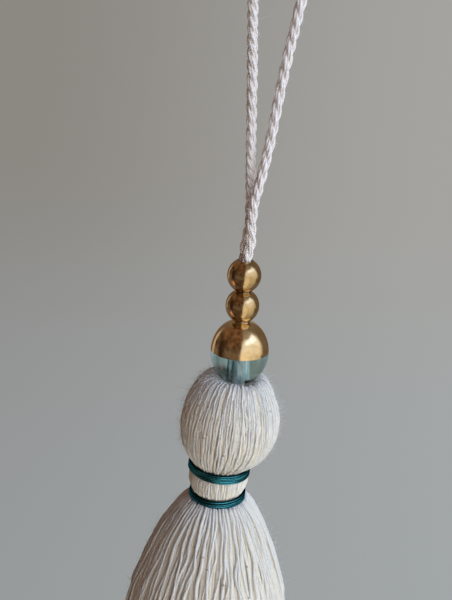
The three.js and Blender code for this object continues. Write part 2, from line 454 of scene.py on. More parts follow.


# %% Four cottons
# Each one's light and dark tone, and the tone of its painted shade.
HEAD_TONES = colour(0.945, 0.95, 0.97), colour(0.895, 0.875, 0.84), colour(0.86, 0.79, 0.69)
# Skirt and neck: the head's yarn painted dimmer, as shade.
DIMMED_SKIRT_TONES = colour(0.875, 0.88, 0.895), colour(0.86, 0.84, 0.80), colour(0.86, 0.79, 0.69)
# Strands deeper in: the same yarn painted darker and warmer, as the shade that falls there.
DEEP_SHADED_TONES = colour(0.95, 0.88, 0.76), colour(0.90, 0.80, 0.655), colour(0.875, 0.765, 0.61)
CORD_TONES = colour(0.87, 0.845, 0.855), colour(0.90, 0.835, 0.81), colour(0.94, 0.825, 0.76)
yarn_cotton = cotton("soft_single_cotton", *HEAD_TONES, 0.06, 0.8)
dimmed_skirt_cotton = cotton("single_cotton_painted_dimmer", *DIMMED_SKIRT_TONES, 0.06, 0.8)
deep_shaded_cotton = cotton("shaded_cotton", *DEEP_SHADED_TONES, 0.06, 0.6)
cord_cotton = cotton("laid_cotton_cord", *CORD_TONES, -0.3, 0.4, flecks=False)
print("materials:", yarn_cotton.name, dimmed_skirt_cotton.name, deep_shaded_cotton.name, cord_cotton.name)


# %% [markdown]
# ## The hanging cord
# A length of cotton cord is doubled into a loop. Its three plies of five yarns are laid up to the left,
# so each ply climbs the cord as a slow helix. One tube with a twisted bump would do from far away, but
# close by the grooves between plies show in the outline, so every yarn is a strand of its own. The cord's
# middle line is the one that its solid follows: up the back run, round the loop and down the front run.
# Inside the beads the two runs share one narrow hole and are squeezed flat, which here scales their depth.

# %% Cord route
CORD_DIAMETER = 2.4
CORD_SQUEEZE = 0.5
SQUEEZE_FADE = 6
RUN_SPREAD = 0.34
MOUTH_ABOVE_BEAD = 2.7
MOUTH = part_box("bead_gold_upper")[1].z / MM + MOUTH_ABOVE_BEAD
RUN_OFFSET = 1.4
CORD_ROUTE = [
    (1.76, RUN_OFFSET, -111.5),
    (1.12, RUN_OFFSET, -100),
    (0.56, RUN_OFFSET, -90),
    (0, RUN_OFFSET, -80),
    (-0.23, RUN_OFFSET, -76),
    (-0.25, RUN_OFFSET, -72.5),
    (-0.15, RUN_OFFSET, -69),
    (-0.4, RUN_OFFSET, -64),
    (-0.9, 1.2, -59.5),
    (-1.6, 0.6, -53),
    (-2.6, 0.2, -43),
    (-3.7, 0, -32),
    (-5, 0, -20),
    (-5.9, 0, -10),
    (-6, 0, -5),
    (-4.3, 0, -0.6),
    (0, 0, CORD_DIAMETER / 2),
    (4.3, 0, -0.6),
    (6, 0, -5),
    (5.8, 0, -10),
    (4.9, 0, -20),
    (3.5, 0, -32),
    (2.6, -0.2, -43),
    (1.9, -0.6, -51),
    (1, -1.2, -57.5),
    (0.3, -RUN_OFFSET, -62),
    (0.2, -RUN_OFFSET, -67),
    (0.4, -RUN_OFFSET, -71),
    (-0.15, -RUN_OFFSET, -76),
    (0, -RUN_OFFSET, -80),
    (0.56, -RUN_OFFSET, -90),
    (1.12, -RUN_OFFSET, -100),
    (1.76, -RUN_OFFSET, -111.5),
]
CORD_RINGS = 560


def squeezed(points):
    """Flattens the pair of runs below the mouth of the beads, and eases them apart sideways."""
    t = np.clip((points[..., 2] - MOUTH) / SQUEEZE_FADE, 0, 1)
    tightness = 1 - t * t * (3 - 2 * t)
    flattened = points.copy()
    flattened[..., 1] *= 1 - tightness * (1 - CORD_SQUEEZE)
    flattened[..., 0] += tightness * RUN_SPREAD * np.clip(-points[..., 1] / RUN_OFFSET, -1, 1)
    return flattened


cord_line = smooth_line(CORD_ROUTE, CORD_RINGS)
cord_path = squeezed(cord_line)
cord_length = np.linalg.norm(np.diff(cord_path, axis=0), axis=1).sum()
cord_along = np.linspace(0, cord_length, CORD_RINGS)
print(f"cord: {cord_length:.0f} mm from end to end")

# %% Lay up the plies
PLIES = 3
YARNS_A_PLY = 5
LAY_LENGTH, LAY_UNEVENNESS = 8.8, 0.16
PLY_TWIST_LENGTH, PLY_TWIST_UNEVENNESS = 7.0, 0.2
NEXT_PLY_TURN = 0.3
CORD_YARN_RADIUS = 0.34
PLY_YARN_OFFSET = 0.385
LOFT = 0.04
PLY_OFFSET = CORD_DIAMETER / 2 - PLY_YARN_OFFSET - CORD_YARN_RADIUS + LOFT


def uneven_turns(length_of_turn, unevenness):
    """How many turns have been made at each ring, where a turn's length varies by a share of itself."""
    rate = 1 + wander(1, cord_along, 9, unevenness)[0]
    return np.cumsum(rate) / rate.mean() * (cord_length / CORD_RINGS) / length_of_turn


def laid_cord():
    """Middle lines of all the cord's yarns, and for each the way out of the cord."""
    forward = directions(cord_line)
    depth = unit(np.array([0, 1, 0]) - forward[:, 1:2] * forward)
    width = np.cross(forward, depth)
    lay = uneven_turns(LAY_LENGTH, LAY_UNEVENNESS)
    twist = uneven_turns(PLY_TWIST_LENGTH, PLY_TWIST_UNEVENNESS)
    lines, outward = [], []
    for ply in range(PLIES):
        turn = (math.tau * (ply / PLIES - lay))[:, None]
        away = np.cos(turn) * depth + np.sin(turn) * width
        aside = np.cross(forward, away)
        for yarn in range(YARNS_A_PLY):
            spin = (math.tau * (yarn / YARNS_A_PLY + twist + NEXT_PLY_TURN * ply))[:, None]
            offset = PLY_YARN_OFFSET * (np.cos(spin) * away + np.sin(spin) * aside)
            lines.append(cord_line + PLY_OFFSET * away + offset)
            outward.append(unit(PLY_OFFSET * away + offset))
    return blunt(np.array(lines)), np.array(outward)


cord_yarns, cord_outward = laid_cord()
cord_radii = CORD_YARN_RADIUS * (1 + wander(PLIES * YARNS_A_PLY, cord_along, 3, 0.08))
cord = lay_tubes("hanging_cord_plies", cord_yarns, cord_radii, cord_outward, 6)
move_vertices(cord.data, squeezed(vertex_places(cord.data) / MM) * MM)
dress(cord, cord_cotton, "cotton_cord", "hanging_cord")

# %% [markdown]
# ## Stray fibres
# Cotton is hairy. Fine fibres stand off every strand and soften its outline. Sheen in a material can't do
# that, so each fibre is a thin tube that leaves the surface at a low angle and curls away.

# %% Stray fibres
FIBRE_RADIUS = 0.022
FIBRE_TIP = 0.6
FIBRE_RINGS = 6


def stray_fibres(name, roots, along, outward, lengths, curl):
    """Thin curved fibres that leave their roots partly along the strand and partly outward."""
    count = len(roots)
    lean = dice.normal(0, 0.9, (count, 1))
    sideways = unit(np.cross(along, outward)) * dice.normal(0, 0.5, (count, 1))
    heading = unit(outward * dice.uniform(0.25, 0.9, (count, 1)) + along * lean + sideways)
    bend = dice.normal(0, curl, (count, 3))
    t = np.linspace(0, 1, FIBRE_RINGS)[None, :, None]
    reach = lengths[:, None, None]
    lines = roots[:, None] + heading[:, None] * t * reach + bend[:, None] * t**2 * reach
    radii = np.full((count, FIBRE_RINGS), FIBRE_RADIUS) * np.linspace(1, FIBRE_TIP, FIBRE_RINGS)
    aside = unit(np.cross(heading, bend))[:, None] * np.ones((1, FIBRE_RINGS, 1))
    return lay_tubes(name, lines, radii, aside, 3)


# %% Fibre material
def plain_fibre():
    material, wire = start_material("cotton_fibre")
    _, _, fibre = strand_place(wire)
    base = fibre.lot().mix(colour(0.66, 0.62, 0.56), colour(0.86, 0.84, 0.82))
    return finish_material(material, wire, {"Base Color": base, "Roughness": 0.8, "Sheen Weight": 0.3})


fibre_cotton = plain_fibre()
print("material:", fibre_cotton.name)

# %% Fibres on the cord
FREE_CORD = (0.18, 0.82)


def cord_fibres(count):
    """Fibres on the part of the cord that hangs free, above the beads."""
    first, last = (int(share * CORD_RINGS) for share in FREE_CORD)
    ring = dice.integers(first, last, count)
    yarn = dice.integers(0, PLIES * YARNS_A_PLY, count)
    outward = cord_outward[yarn, ring]
    roots = squeezed(cord_yarns[yarn, ring] + outward * CORD_YARN_RADIUS * 0.5)
    along = directions(cord_line)[ring]
    lengths = dice.gamma(2.5, 0.27, count) + 0.25
    return stray_fibres("hanging_cord_fibres", roots, along, outward, lengths, 0.35)


cord_hair = dress(cord_fibres(1500), fibre_cotton, "cotton_cord")
cord_path * MM

# %% [markdown]
# ## The yarn
# A hank of yarn is folded over the cord. It is one solid in the model, and a striped bump on that solid
# would have neither gaps nor strands that cross. So strands are laid on the solid's own sections,
# listed here from top to bottom as radius, height and how far the section's centre lies to the right. A
# strand follows a section line at its own depth below the surface, and wanders a little sideways and in
# depth. An outer layer of separate strands lies on one or two layers painted darker and warmer as shade,
# and those on a closed core, painted a darker tan as shade.

# %% Yarn sections
HEAD_SECTIONS = [
    (1.7, -108.6, 1.5),
    (2.6, -107.4, 1.4),
    (4.6, -105.85, 1.25),
    (6.1, -105.4, 1.1),
    (7.8, -106.2, 0.9),
    (9.3, -108.3, 0.8),
    (10.8, -111.3, 0.8),
    (11.8, -114.8, 0.8),
    (12.1, -118.5, 0.8),
    (11.5, -122.5, 0.6),
    (9.8, -126.2, 0.2),
    (7.9, -128.5, -0.25),
    (7.0, -129.6, -0.35),
]
NECK_SECTIONS = [
    (6.7, -130.4, -0.35),
    (7.25, -131.6, -0.4),
    (7.4, -133.2, -0.4),
    (7.1, -135.2, -0.35),
    (6.5, -136.6, -0.3),
]
SKIRT_SECTIONS = [
    (6.3, -137.4, -0.2),
    (7.3, -138.8, -0.1),
    (9.4, -141, 0.1),
    (11.5, -144.2, 0.2),
    (14.4, -149.8, 0.2),
    (17.6, -158, 0.4),
    (20.5, -168, 0.5),
    (22.6, -182, 0.5),
    (24.2, -197, 0.5),
    (24.9, -210, 0.5),
    (24.6, -217, 0.5),
]


def section_line(sections, rings):
    """Radius, height and shift, outward normal and distance along, at even steps down the sections."""
    line = smooth_line(sections, rings)
    run = directions(line[:, :2])
    normal = np.stack([-run[:, 1], run[:, 0]], axis=1)
    step = np.linalg.norm(np.diff(line[:, :2], axis=0, prepend=line[:1, :2]), axis=1)
    return line, normal, np.cumsum(step)


print("head and skirt are", [2 * max(part)[0] for part in (HEAD_SECTIONS, SKIRT_SECTIONS)], "mm wide")

# %% Strands down the sections
LEAST_RING = 0.3
LEAST_SWING = 2.5


def round_axis(angle, radius, height, shift=0):
    """Points round an upright axis that stands shift to the right."""
    return np.stack([shift + radius * np.cos(angle), radius * np.sin(angle), height + 0 * angle], axis=-1)


def yarn_lines(sections, rings, angles, depth, sideways):
    """Strands down the sections. Depth and sideways are in millimetres, one row for each strand."""
    line, normal, _ = section_line(sections, rings)
    radius = np.maximum(line[:, 0] - depth * normal[:, 0], LEAST_RING)
    height = line[:, 1] - depth * normal[:, 1]
    angle = angles[:, None] + sideways / np.maximum(radius, LEAST_SWING)
    return round_axis(angle, radius, height, line[:, 2]), round_axis(angle, normal[:, 0], normal[:, 1])


def spread_angles(count, jitter):
    return (np.arange(count) + dice.uniform(-jitter, jitter, count)) * math.tau / count


# %% Thickness and unevenness
FULLNESS = 0.62
THINNEST = 0.14


def snug_radius(ring_radius, count, most, jitter):
    """A strand's radius where count strands share a ring and press together when space is short."""
    pitch = math.tau * ring_radius / count
    return np.clip(FULLNESS * pitch, THINNEST, most) * np.clip(jitter, 0.55, 1.5)


def waves(count, along, *sizes):
    """Several wanders added up, each with its wavelength and its size."""
    return sum(wander(count, along, wavelength, size) for wavelength, size in sizes)


def uneven_thickness(count, along):
    """Slubs and thin places along each strand, on top of each strand's own thickness."""
    return dice.normal(1, 0.13, (count, 1)) + waves(count, along, (4, 0.1), (1.1, 0.12))


TUCK = 0.1


def tucked(rings, first, last):
    """From 0 along most of a strand to 1 where it goes under a binding, at the ends asked for."""
    t = np.linspace(0, 1, rings)
    return first * np.clip(1 - t / TUCK, 0, 1) + last * np.clip((t - 1 + TUCK) / TUCK, 0, 1)


# %% [markdown]
# ## The head
# The strands start at the hole in the head's top, spread over it and come together again under the upper
# binding. There are as many of them at the narrow top as at the wide middle. So a strand is as thick as its
# share of the ring allows, and some sink below the others where all of them crowd together.

# %% Strands of the head
HEAD_RINGS = 72
SUNK_SHARE = 0.45
SUNK_DEPTH = 0.4


def head_strands(name, count, depth, most):
    """Strands over the head. Where they crowd together at its top, some sink below the others."""
    line, _, along = section_line(HEAD_SECTIONS, HEAD_RINGS)
    tuck = tucked(HEAD_RINGS, 0, 1)
    crowded = np.clip(1 - (line[:, 0] - 4.5) / 6, 0, 1)
    sunk = (dice.random((count, 1)) < SUNK_SHARE) * crowded * SUNK_DEPTH
    layer = depth + sunk + waves(count, along, (11, 0.09), (3, 0.03)) + 0.15 * tuck
    sideways = waves(count, along, (10, 0.2), (2.4, 0.08), (1.2, 0.04))
    lines, outward = yarn_lines(HEAD_SECTIONS, HEAD_RINGS, spread_angles(count, 0.45), layer, sideways)
    radii = snug_radius(line[:, 0], count, most, uneven_thickness(count, along)) * (1 - 0.25 * tuck)
    return lay_tubes(name, blunt(lines), radii, outward, 8), lines, outward


head, head_lines, head_outward = head_strands("yarn_head", 94, 0.26, 0.26)
dress(head, yarn_cotton, "cotton_yarn", "yarn_bundle")
under_head, _, _ = head_strands("yarn_head_under", 96, 0.56, 0.50)
dress(under_head, deep_shaded_cotton, "cotton_yarn", "yarn_bundle")

# %% [markdown]
# ## The neck
# Between the bindings the yarn is pulled tight, so its strands are close and almost straight. The lower
# binding sits a little out of level, and what it holds tips with it.

# %% Strands of the neck
NECK_RINGS = 24
LOWER_SLOPE = (0.06, 0.04)


def sloped(points, weight):
    """Tips points with the lower binding, which sits out of level."""
    tipped = points.copy()
    tipped[..., 2] += weight * (LOWER_SLOPE[0] * points[..., 0] + LOWER_SLOPE[1] * points[..., 1])
    return tipped


def neck_strands(name, count, depth, most):
    line, _, along = section_line(NECK_SECTIONS, NECK_RINGS)
    tuck = tucked(NECK_RINGS, 1, 1)
    layer = depth + waves(count, along, (5, 0.05)) + 0.1 * tuck
    sideways = waves(count, along, (4, 0.1), (1.3, 0.06))
    lines, outward = yarn_lines(NECK_SECTIONS, NECK_RINGS, spread_angles(count, 0.4), layer, sideways)
    radii = snug_radius(line[:, 0] * 1.2, count, most, uneven_thickness(count, along)) * (1 - 0.12 * tuck)
    return lay_tubes(name, sloped(blunt(lines), np.linspace(0, 1, NECK_RINGS)), radii, outward, 8)


dress(neck_strands("yarn_neck", 84, 0.29, 0.26), dimmed_skirt_cotton, "cotton_yarn", "yarn_bundle")
dress(neck_strands("yarn_neck_under", 96, 0.42, 0.46), deep_shaded_cotton, "cotton_yarn", "yarn_bundle")

# %% [markdown]
# ## The skirt
# Below the lower binding the strands hang free. They open out, wander more the further down they are, and
# end at slightly different heights. Cloth simulation is for sheets and pads, so loose strands get smooth
# random wanders instead. The second layer's strands are broad and flat, which closes the gaps between the
# outer ones, and the third fills what is still open from the side.

# %% Strands of the skirt
SKIRT_RINGS = 66

# Each layer's name, strands, depth, thickest radius, rings, sides, flatness, waywardness and cotton.
SKIRT_LAYERS = [
    ("yarn_skirt_outer", 82, 0.32, 0.345, SKIRT_RINGS, 7, 1.0, 0.92, dimmed_skirt_cotton),
    ("yarn_skirt_second", 150, 0.62, 0.76, 60, 8, 0.52, 0.36, deep_shaded_cotton),
    ("yarn_skirt_third", 110, 1.3, 0.80, 36, 5, 1.0, 0.3, deep_shaded_cotton),
]
OPENING_WIDTH = 8
SLOPE_FADE = 6
UNEVEN_ENDS = 1.2


def skirt_strands(name, count, depth, most, rings, sides, flat, stray):
    line, _, along = section_line(SKIRT_SECTIONS, rings)
    down = along / along[-1]
    opening = np.clip((line[:, 0] - SKIRT_SECTIONS[0][0]) / OPENING_WIDTH, 0, 1)
    looseness = 0.2 + 0.8 * opening + 0.9 * down
    layer = np.minimum(depth * (0.4 + 0.6 * opening), line[:, 0] * 0.8)
    layer = layer + looseness * stray * waves(count, along, (16, 0.16), (5, 0.05))
    sideways = looseness * stray * waves(count, along, (14, 0.6), (5, 0.3))
    lines, outward = yarn_lines(SKIRT_SECTIONS, rings, spread_angles(count, 0.45), layer, sideways)
    lines[..., 2] += down**6 * dice.normal(0, UNEVEN_ENDS, (count, 1))
    lines = sloped(lines, np.clip(1 - along / SLOPE_FADE, 0, 1))
    radii = snug_radius(line[:, 0], count, most, uneven_thickness(count, along))
    return lay_tubes(name, blunt(lines), radii, outward, sides, flat), lines, outward


skirt_strand_lines = []
for *layer, layer_cotton in SKIRT_LAYERS:
    skirt, *lines_and_outward = skirt_strands(*layer)
    dress(skirt, layer_cotton, "cotton_yarn", "yarn_bundle")
    skirt_strand_lines.append(lines_and_outward)

# %% [markdown]
# ## Cut ends and core
# From below, the skirt shows hundreds of cut ends. Short strands fill its opening in the pattern of a
# sunflower's seeds, which is even but has no rows, and they take the cotton painted darker as shade.
# Deep inside, where strands lie too close to tell apart, the hank is one closed shape that is spun from the
# same sections, painted a darker tan as the shade between strands.

# %% Cut ends
SEED_TURN = math.pi * (3 - math.sqrt(5))
HEM_SPREAD = 0.93
HEM_RADIUS = 0.62
HEM_SECTIONS = SKIRT_SECTIONS[-4:]


def hem_strands(count, rings):
    """Cut ends that fill the skirt's open end, spread like a sunflower's seeds."""
    seed = np.arange(count)[:, None]
    line, _, _ = section_line(HEM_SECTIONS, rings)
    down = line[0, 1] - line[:, 1]
    radius = HEM_SPREAD * np.sqrt((seed + 0.5) / count) * line[:, 0] + waves(count, down, (6, 0.35))
    height = line[:, 1] + np.linspace(0, 1, rings) ** 4 * dice.normal(0.3, 0.9, (count, 1))
    angle = seed * SEED_TURN + 0 * height
    lines = blunt(round_axis(angle, radius, height, line[:, 2]))
    radii = HEM_RADIUS * uneven_thickness(count, down)
    return lay_tubes("yarn_hem", lines, radii, round_axis(angle, 1, 0), 5)


dress(hem_strands(440, 12), deep_shaded_cotton, "cotton_yarn", "yarn_bundle")

# %% Core of the hank
CORE_FOOT = -206
CORE_DEPTHS = [(CORE_FOOT, 1.9), (-160, 1.3), (-141, 0.8), (-129, 0.65), (-104, 0.9)]
POLE_RADIUS = 0.4


def core_sections():
    """The sections again, set in below the strands, and closed at the top and above the cut ends."""
    line, normal, _ = section_line(HEAD_SECTIONS[2:] + NECK_SECTIONS + SKIRT_SECTIONS, 110)
    line = line[line[:, 1] > CORE_FOOT]
    normal = normal[: len(line)]
    depth = np.interp(line[:, 1], *zip(*CORE_DEPTHS))
    line[:, :2] -= depth[:, None] * normal
    radius, height, shift = line[-1]
    foot = [(radius * 0.5, height - 0.6, shift), (POLE_RADIUS, height - 0.6, shift)]
    return [(POLE_RADIUS, -108.4, 1.5), *line, *foot]


FULL_TURN = {"cent": (0, 0, 0), "axis": (0, 0, 1), "angle": math.tau, "use_merge": True}


def spun(name, sections, rings, steps):
    """Turns the sections round the upright axis, with each ring's centre at its own shift."""
    line = smooth_line(sections, rings)
    bm = bmesh.new()
    verts = [bm.verts.new((radius * MM, 0, height * MM)) for radius, height, _ in line]
    edges = [bm.edges.new(pair) for pair in zip(verts, verts[1:])]
    bmesh.ops.spin(bm, geom=verts + edges, steps=steps, **FULL_TURN)
    for level in [verts[0].co.z, verts[-1].co.z]:
        rims = [edge for edge in bm.edges if edge.is_boundary]
        rim = [edge for edge in rims if abs(edge.verts[0].co.z - level) < 1e-7]
        bmesh.ops.holes_fill(bm, edges=rim, sides=0)
    heights, shifts = line[::-1, 1], line[::-1, 2]
    for vert in bm.verts:
        vert.co.x += np.interp(vert.co.z / MM, heights, shifts) * MM
    bmesh.ops.recalc_face_normals(bm, faces=bm.faces)
    return new_object(name, bm)


def packed_yarn():
    """The yarn deep inside, where strands lie too close to tell apart, painted a darker tan as shade."""
    material, wire = start_material("packed_yarn")
    grain = wire.node("TexCoord", output="Object").stretched(900, 900, 60).noise(3.0)
    # Painted shade: the darker tan stands for the shade between packed strands.
    base = grain.mix(colour(0.68, 0.59, 0.46), colour(0.84, 0.765, 0.64))
    surface = {"Base Color": base, "Roughness": 0.95, "Normal": grain.bump(0.6, 0.4)}
    return finish_material(material, wire, surface)


core = dress(spun("yarn_core", core_sections(), 120, 72), packed_yarn(), "cotton_yarn", "yarn_bundle")
print("core faces:", len(core.data.polygons))

# %% Fibres on head and skirt
def yarn_fibres(name, lines, outward, count, first, last):
    strand = dice.integers(0, len(lines), count)
    ring = dice.integers(first, last, count)
    away = outward[strand, ring]
    roots = lines[strand, ring] + away * 0.25
    lengths = dice.gamma(2.2, 0.42, count) + 0.3
    return stray_fibres(name, roots, directions(lines)[strand, ring], away, lengths, 0.4)


head_hair = yarn_fibres("yarn_head_fibres", head_lines, head_outward, 2800, 10, HEAD_RINGS - 14)
dress(head_hair, fibre_cotton, "cotton_yarn")
skirt_hair = yarn_fibres("yarn_skirt_fibres", *skirt_strand_lines[0], 3600, 6, SKIRT_RINGS - 1)
dress(skirt_hair, fibre_cotton, "cotton_yarn")

# %% [markdown]
# ## The bindings
# Each binding is one thread, wound round the yarn in two layers: down inside, then back up over itself. A
# stack of rings would look machined. So a winding is a helix whose height sweeps down and up again, with a
# little unevenness that lets turns ride on each other. The thread is two plies of shiny green, which show
# as a fine slanting grain; the dark lines between the plies are painted shade. Like silk, it is nearly
# black in the shade and bright where it shines, so its shader is a coloured metal. The side of each turn
# that faces in is painted nearly black as shade.

# %% Wind the thread
THREAD_RADIUS = 0.245
TURN_RINGS = 72
BINDING_HEIGHT = 2.5
THREAD_START = 1.9
LAYER_STEP = 0.36
INSET = 0.04
CROWN = 0.08
BINDINGS = {
    "binding_upper": {"middle": -130.42, "radius": 7.8, "shift": -0.55, "turns": 4.4, "tip": -0.35},
    "binding_lower": {"middle": -137.75, "radius": 7.1, "shift": -0.3, "turns": 3.9, "tip": 1},
}


def wound_thread(name, middle, radius, shift, turns, tip):
    """One thread that winds down the inner layer, then up the outer one. Tip is its share of the slope."""
    rings = int(2 * turns * TURN_RINGS)
    sweep = np.linspace(0, 2, rings)
    angle = sweep * turns * math.tau + THREAD_START
    travel = BINDING_HEIGHT / 2 - THREAD_RADIUS
    level = np.where(sweep < 1, 1 - 2 * sweep, 2 * sweep - 3) * travel
    outer = np.clip((sweep - 0.97) / 0.06, 0, 1)
    along = angle * radius
    reach = radius - INSET - THREAD_RADIUS - LAYER_STEP * (1 - outer) + CROWN * (1 - (level / travel) ** 2)
    reach = reach + wander(1, along, 14, 0.045)[0]
    height = middle + level + wander(1, along, 20, 0.06)[0]
    lines = sloped(round_axis(angle, reach, height, shift)[None], tip)
    radii = np.full((1, rings), THREAD_RADIUS)
    return lay_tubes(name, lines, radii, round_axis(angle, 1, 0)[None], 8)


# %% Thread material
THREAD_DARK = colour(0.001, 0.010, 0.014)
THREAD_LIGHT = colour(0.11, 0.66, 1.0)
THREAD_PAINTED_SHADE = colour(0.002, 0.016, 0.022)


def green_thread():
    material, wire = start_material("green_thread")
    around, along, _ = strand_place(wire)
    ply = centred((around * 2.0 + along * 1.1) % 1.0) * 0.5
    grain = (around * 6.0).vector(along * 2.5).noise(2.0, dimensions="2D")
    streak = (along * 0.17).noise(2.0, dimensions="1D")
    # The grain and streaks are the thread's own tone; the dark lines between the plies are painted shade.
    base = (grain * 0.4 + ply * 0.6 + streak.rise(0.35, 0.65) * 0.5).mix(THREAD_DARK, THREAD_LIGHT)
    facing_in = 1.0 - centred(around)
    # Painted shade: the side of each turn that faces in goes nearly black.
    base = facing_in.rise(0.06, 0.34).mix(base, THREAD_PAINTED_SHADE)
    surface = {
        "Base Color": base,
        "Metallic": 1.0,
        "Roughness": 0.34,
        "Specular Tint": colour(0.02, 0.06, 0.08),
        "Normal": (ply + grain * 0.5).bump(0.9, 0.08),
    }
    return finish_material(material, wire, surface)


thread_look = green_thread()
for binding, sizes in BINDINGS.items():
    dress(wound_thread(binding + "_thread", **sizes), thread_look, "green_thread", binding)

# %% [markdown]
# ## The beads
# A bead is a circle's arc, cut off where its hole will be and spun round the hole's axis. A hole that a
# Boolean cuts would have ragged faces round its rim, just where the light catches. Here bridging the two
# open rims makes the hole's wall, and a bevel rounds its edges. The glass bead is a taller one, and its
# upper half carries a gold plating: a ring of edges at the plating's edge parts the two materials.

# %% Bead shape
GOLD_SIZE = {"radius": 4, "half_height": 4.14}
GLASS_SIZE = {"radius": 7, "half_height": 8.12}
PLATED_FROM = 0.4
BORE_RADIUS = 1.75
RIM_ROUNDING = 0.18
STRING_LEAN = math.radians(3.2)
GLASS, PLATING, WALL = range(3)


def bored_bead(name, node, radius, half_height, plated_from=None):
    """A round bead on its packed place. With a plating it gets the slots of glass, plating and wall."""
    bm = bmesh.new()
    bmesh.ops.create_circle(bm, segments=120, radius=1)
    bmesh.ops.scale(bm, vec=(radius * MM, half_height * MM, 1), verts=bm.verts)
    cut = {"plane_co": (BORE_RADIUS * MM, 0, 0), "plane_no": (1, 0, 0), "clear_inner": True}
    bmesh.ops.bisect_plane(bm, geom=bm.verts[:] + bm.edges[:], **cut)
    bmesh.ops.rotate(bm, verts=bm.verts, matrix=Matrix.Rotation(math.pi / 2, 3, "X"))
    bmesh.ops.spin(bm, geom=bm.verts[:] + bm.edges[:], steps=96, **FULL_TURN)
    rims = [edge for edge in bm.edges if edge.is_boundary]
    bmesh.ops.bridge_loops(bm, edges=rims)
    rounding = {"segments": 3, "profile": 0.5, "affect": "EDGES", "material": -1}
    bmesh.ops.bevel(bm, geom=rims, offset=RIM_ROUNDING * MM, **rounding)
    if plated_from is not None:
        everything = bm.verts[:] + bm.edges[:] + bm.faces[:]
        level = plated_from * MM
        bmesh.ops.bisect_plane(bm, geom=everything, plane_co=(0, 0, level), plane_no=(0, 0, 1))
        for face in bm.faces:
            centre = face.calc_center_median()
            outside = math.hypot(centre.x, centre.y) > (BORE_RADIUS + 0.1) * MM
            face.material_index = (PLATING if centre.z > level else GLASS) if outside else WALL
    bmesh.ops.recalc_face_normals(bm, faces=bm.faces)
    place = Matrix.Translation(middle(node)) @ Matrix.Rotation(-STRING_LEAN, 4, "Y")
    bmesh.ops.transform(bm, matrix=place, verts=bm.verts)
    made = new_object(name, bm)
    print(f"{name}: {len(made.data.polygons)} faces")
    return made


# %% [markdown]
# ## Gold and glass
# The gold is thin, bright and a little worn: its tone and gloss change in soft patches, and tiny pits break
# up what it mirrors. The glass is clear, with teal drawn down through it in streaks. Light and shade are
# also painted into that colour: it is paler along the cord, as painted light, and darker low on its left
# and at its foot, as painted shade. A colour inside the glass would be slow to render and hard to export,
# so it is painted on the outside, where light passes it on the way in and out. The hole's wall is clear, so
# that the cord shows. The bead casts no shadow, because it would be as black as a stone's, and the cord
# inside the bead and the yarn under it are lit through it.

# %% Gold
def polished_gold(name, dull, bright):
    material, wire = start_material(name)
    place = wire.node("TexCoord", output="Object")
    wear = place.noise(4.0, 520.0, 0.6)
    pits = place.noise(3.0, 1500.0, 0.7)
    surface = {
        "Base Color": wear.rise(0.3, 0.7).mix(dull, bright),
        "Metallic": 1.0,
        "Roughness": wear * 0.12 + 0.08,
        "Specular Tint": colour(0.90, 0.76, 0.60),
        "Normal": (pits + wear * 0.6).bump(0.5, 0.04),
    }
    return finish_material(material, wire, surface)


# %% Glass
def glass_surface(name, tint):
    """Clear glass. Tint is its colour, or a function that works it out from the bead's own places."""
    material, wire = start_material(name)
    base = tint(wire) if callable(tint) else tint
    surface = {"Base Color": base, "Roughness": 0.03, "IOR": 1.5, "Transmission Weight": 1.0}
    return finish_material(material, wire, surface)


def teal_tint(wire):
    """Pale teal with streaks down the bead. Paler along the cord as painted light, and darker low on its
    left and at its foot as painted shade.
    """
    place = wire.node("TexCoord", output="Object")
    across, _, height = place.parts()
    centre = middle("bead_glass")
    across, height = across - centre.x, height - centre.z
    streak = place.stretched(520, 520, 90).noise(3.0).rise(0.36, 0.64)
    beside_patch, above_patch = across + 3.4 * MM, height + 3.9 * MM
    from_patch = (beside_patch * beside_patch + above_patch * above_patch).math("SQRT")
    # Painted shade: a dark patch low on the bead's left.
    painted_dark_patch = streak.mix(colour(0.006, 0.013, 0.011), colour(0.05, 0.085, 0.08))
    pale = streak.mix(colour(0.33, 0.57, 0.58), colour(0.66, 0.96, 1.0))
    # Painted light: paler where the cord shows through the glass.
    painted_light_along_cord = streak.mix(colour(0.50, 0.80, 0.88), colour(0.72, 0.98, 1.0))
    beside_cord = (across + 0.3 * MM).math("ABSOLUTE").rise(0.6 * MM, 1.3 * MM)
    pale = beside_cord.mix(painted_light_along_cord, pale)
    # Painted shade: darker teal low on the bead, away from the cord and short of its right side.
    foot = height.rise(-2.2 * MM, -4.4 * MM) * beside_cord * across.rise(3.0 * MM, 2.2 * MM)
    pale = (foot * 0.6).mix(pale, colour(0.22, 0.35, 0.34))
    return from_patch.rise(1.3 * MM, 3.4 * MM).mix(painted_dark_patch, pale)


# %% Finished beads
small_gold = polished_gold("polished_gold", colour(0.52, 0.39, 0.225), colour(0.72, 0.57, 0.38))
plating_gold = polished_gold("gold_plating", colour(0.69, 0.53, 0.33), colour(0.88, 0.72, 0.50))
teal_glass = glass_surface("teal_glass", teal_tint)
clear_glass = glass_surface("clear_glass", colour(0.95, 0.97, 0.97))
for bead in ("upper", "lower"):
    gold_bead = bored_bead("gold_bead_" + bead, "bead_gold_" + bead, **GOLD_SIZE)
    dress(gold_bead, small_gold, "polished_gold", "bead_gold_" + bead)
glass_bead = bored_bead("gilded_glass_bead", "bead_glass", **GLASS_SIZE, plated_from=PLATED_FROM)
glass_bead.visible_shadow = False
for finish in (teal_glass, plating_gold, clear_glass):
    glass_bead.data.materials.append(finish)
dress(glass_bead, teal_glass, "teal_glass", "bead_glass")

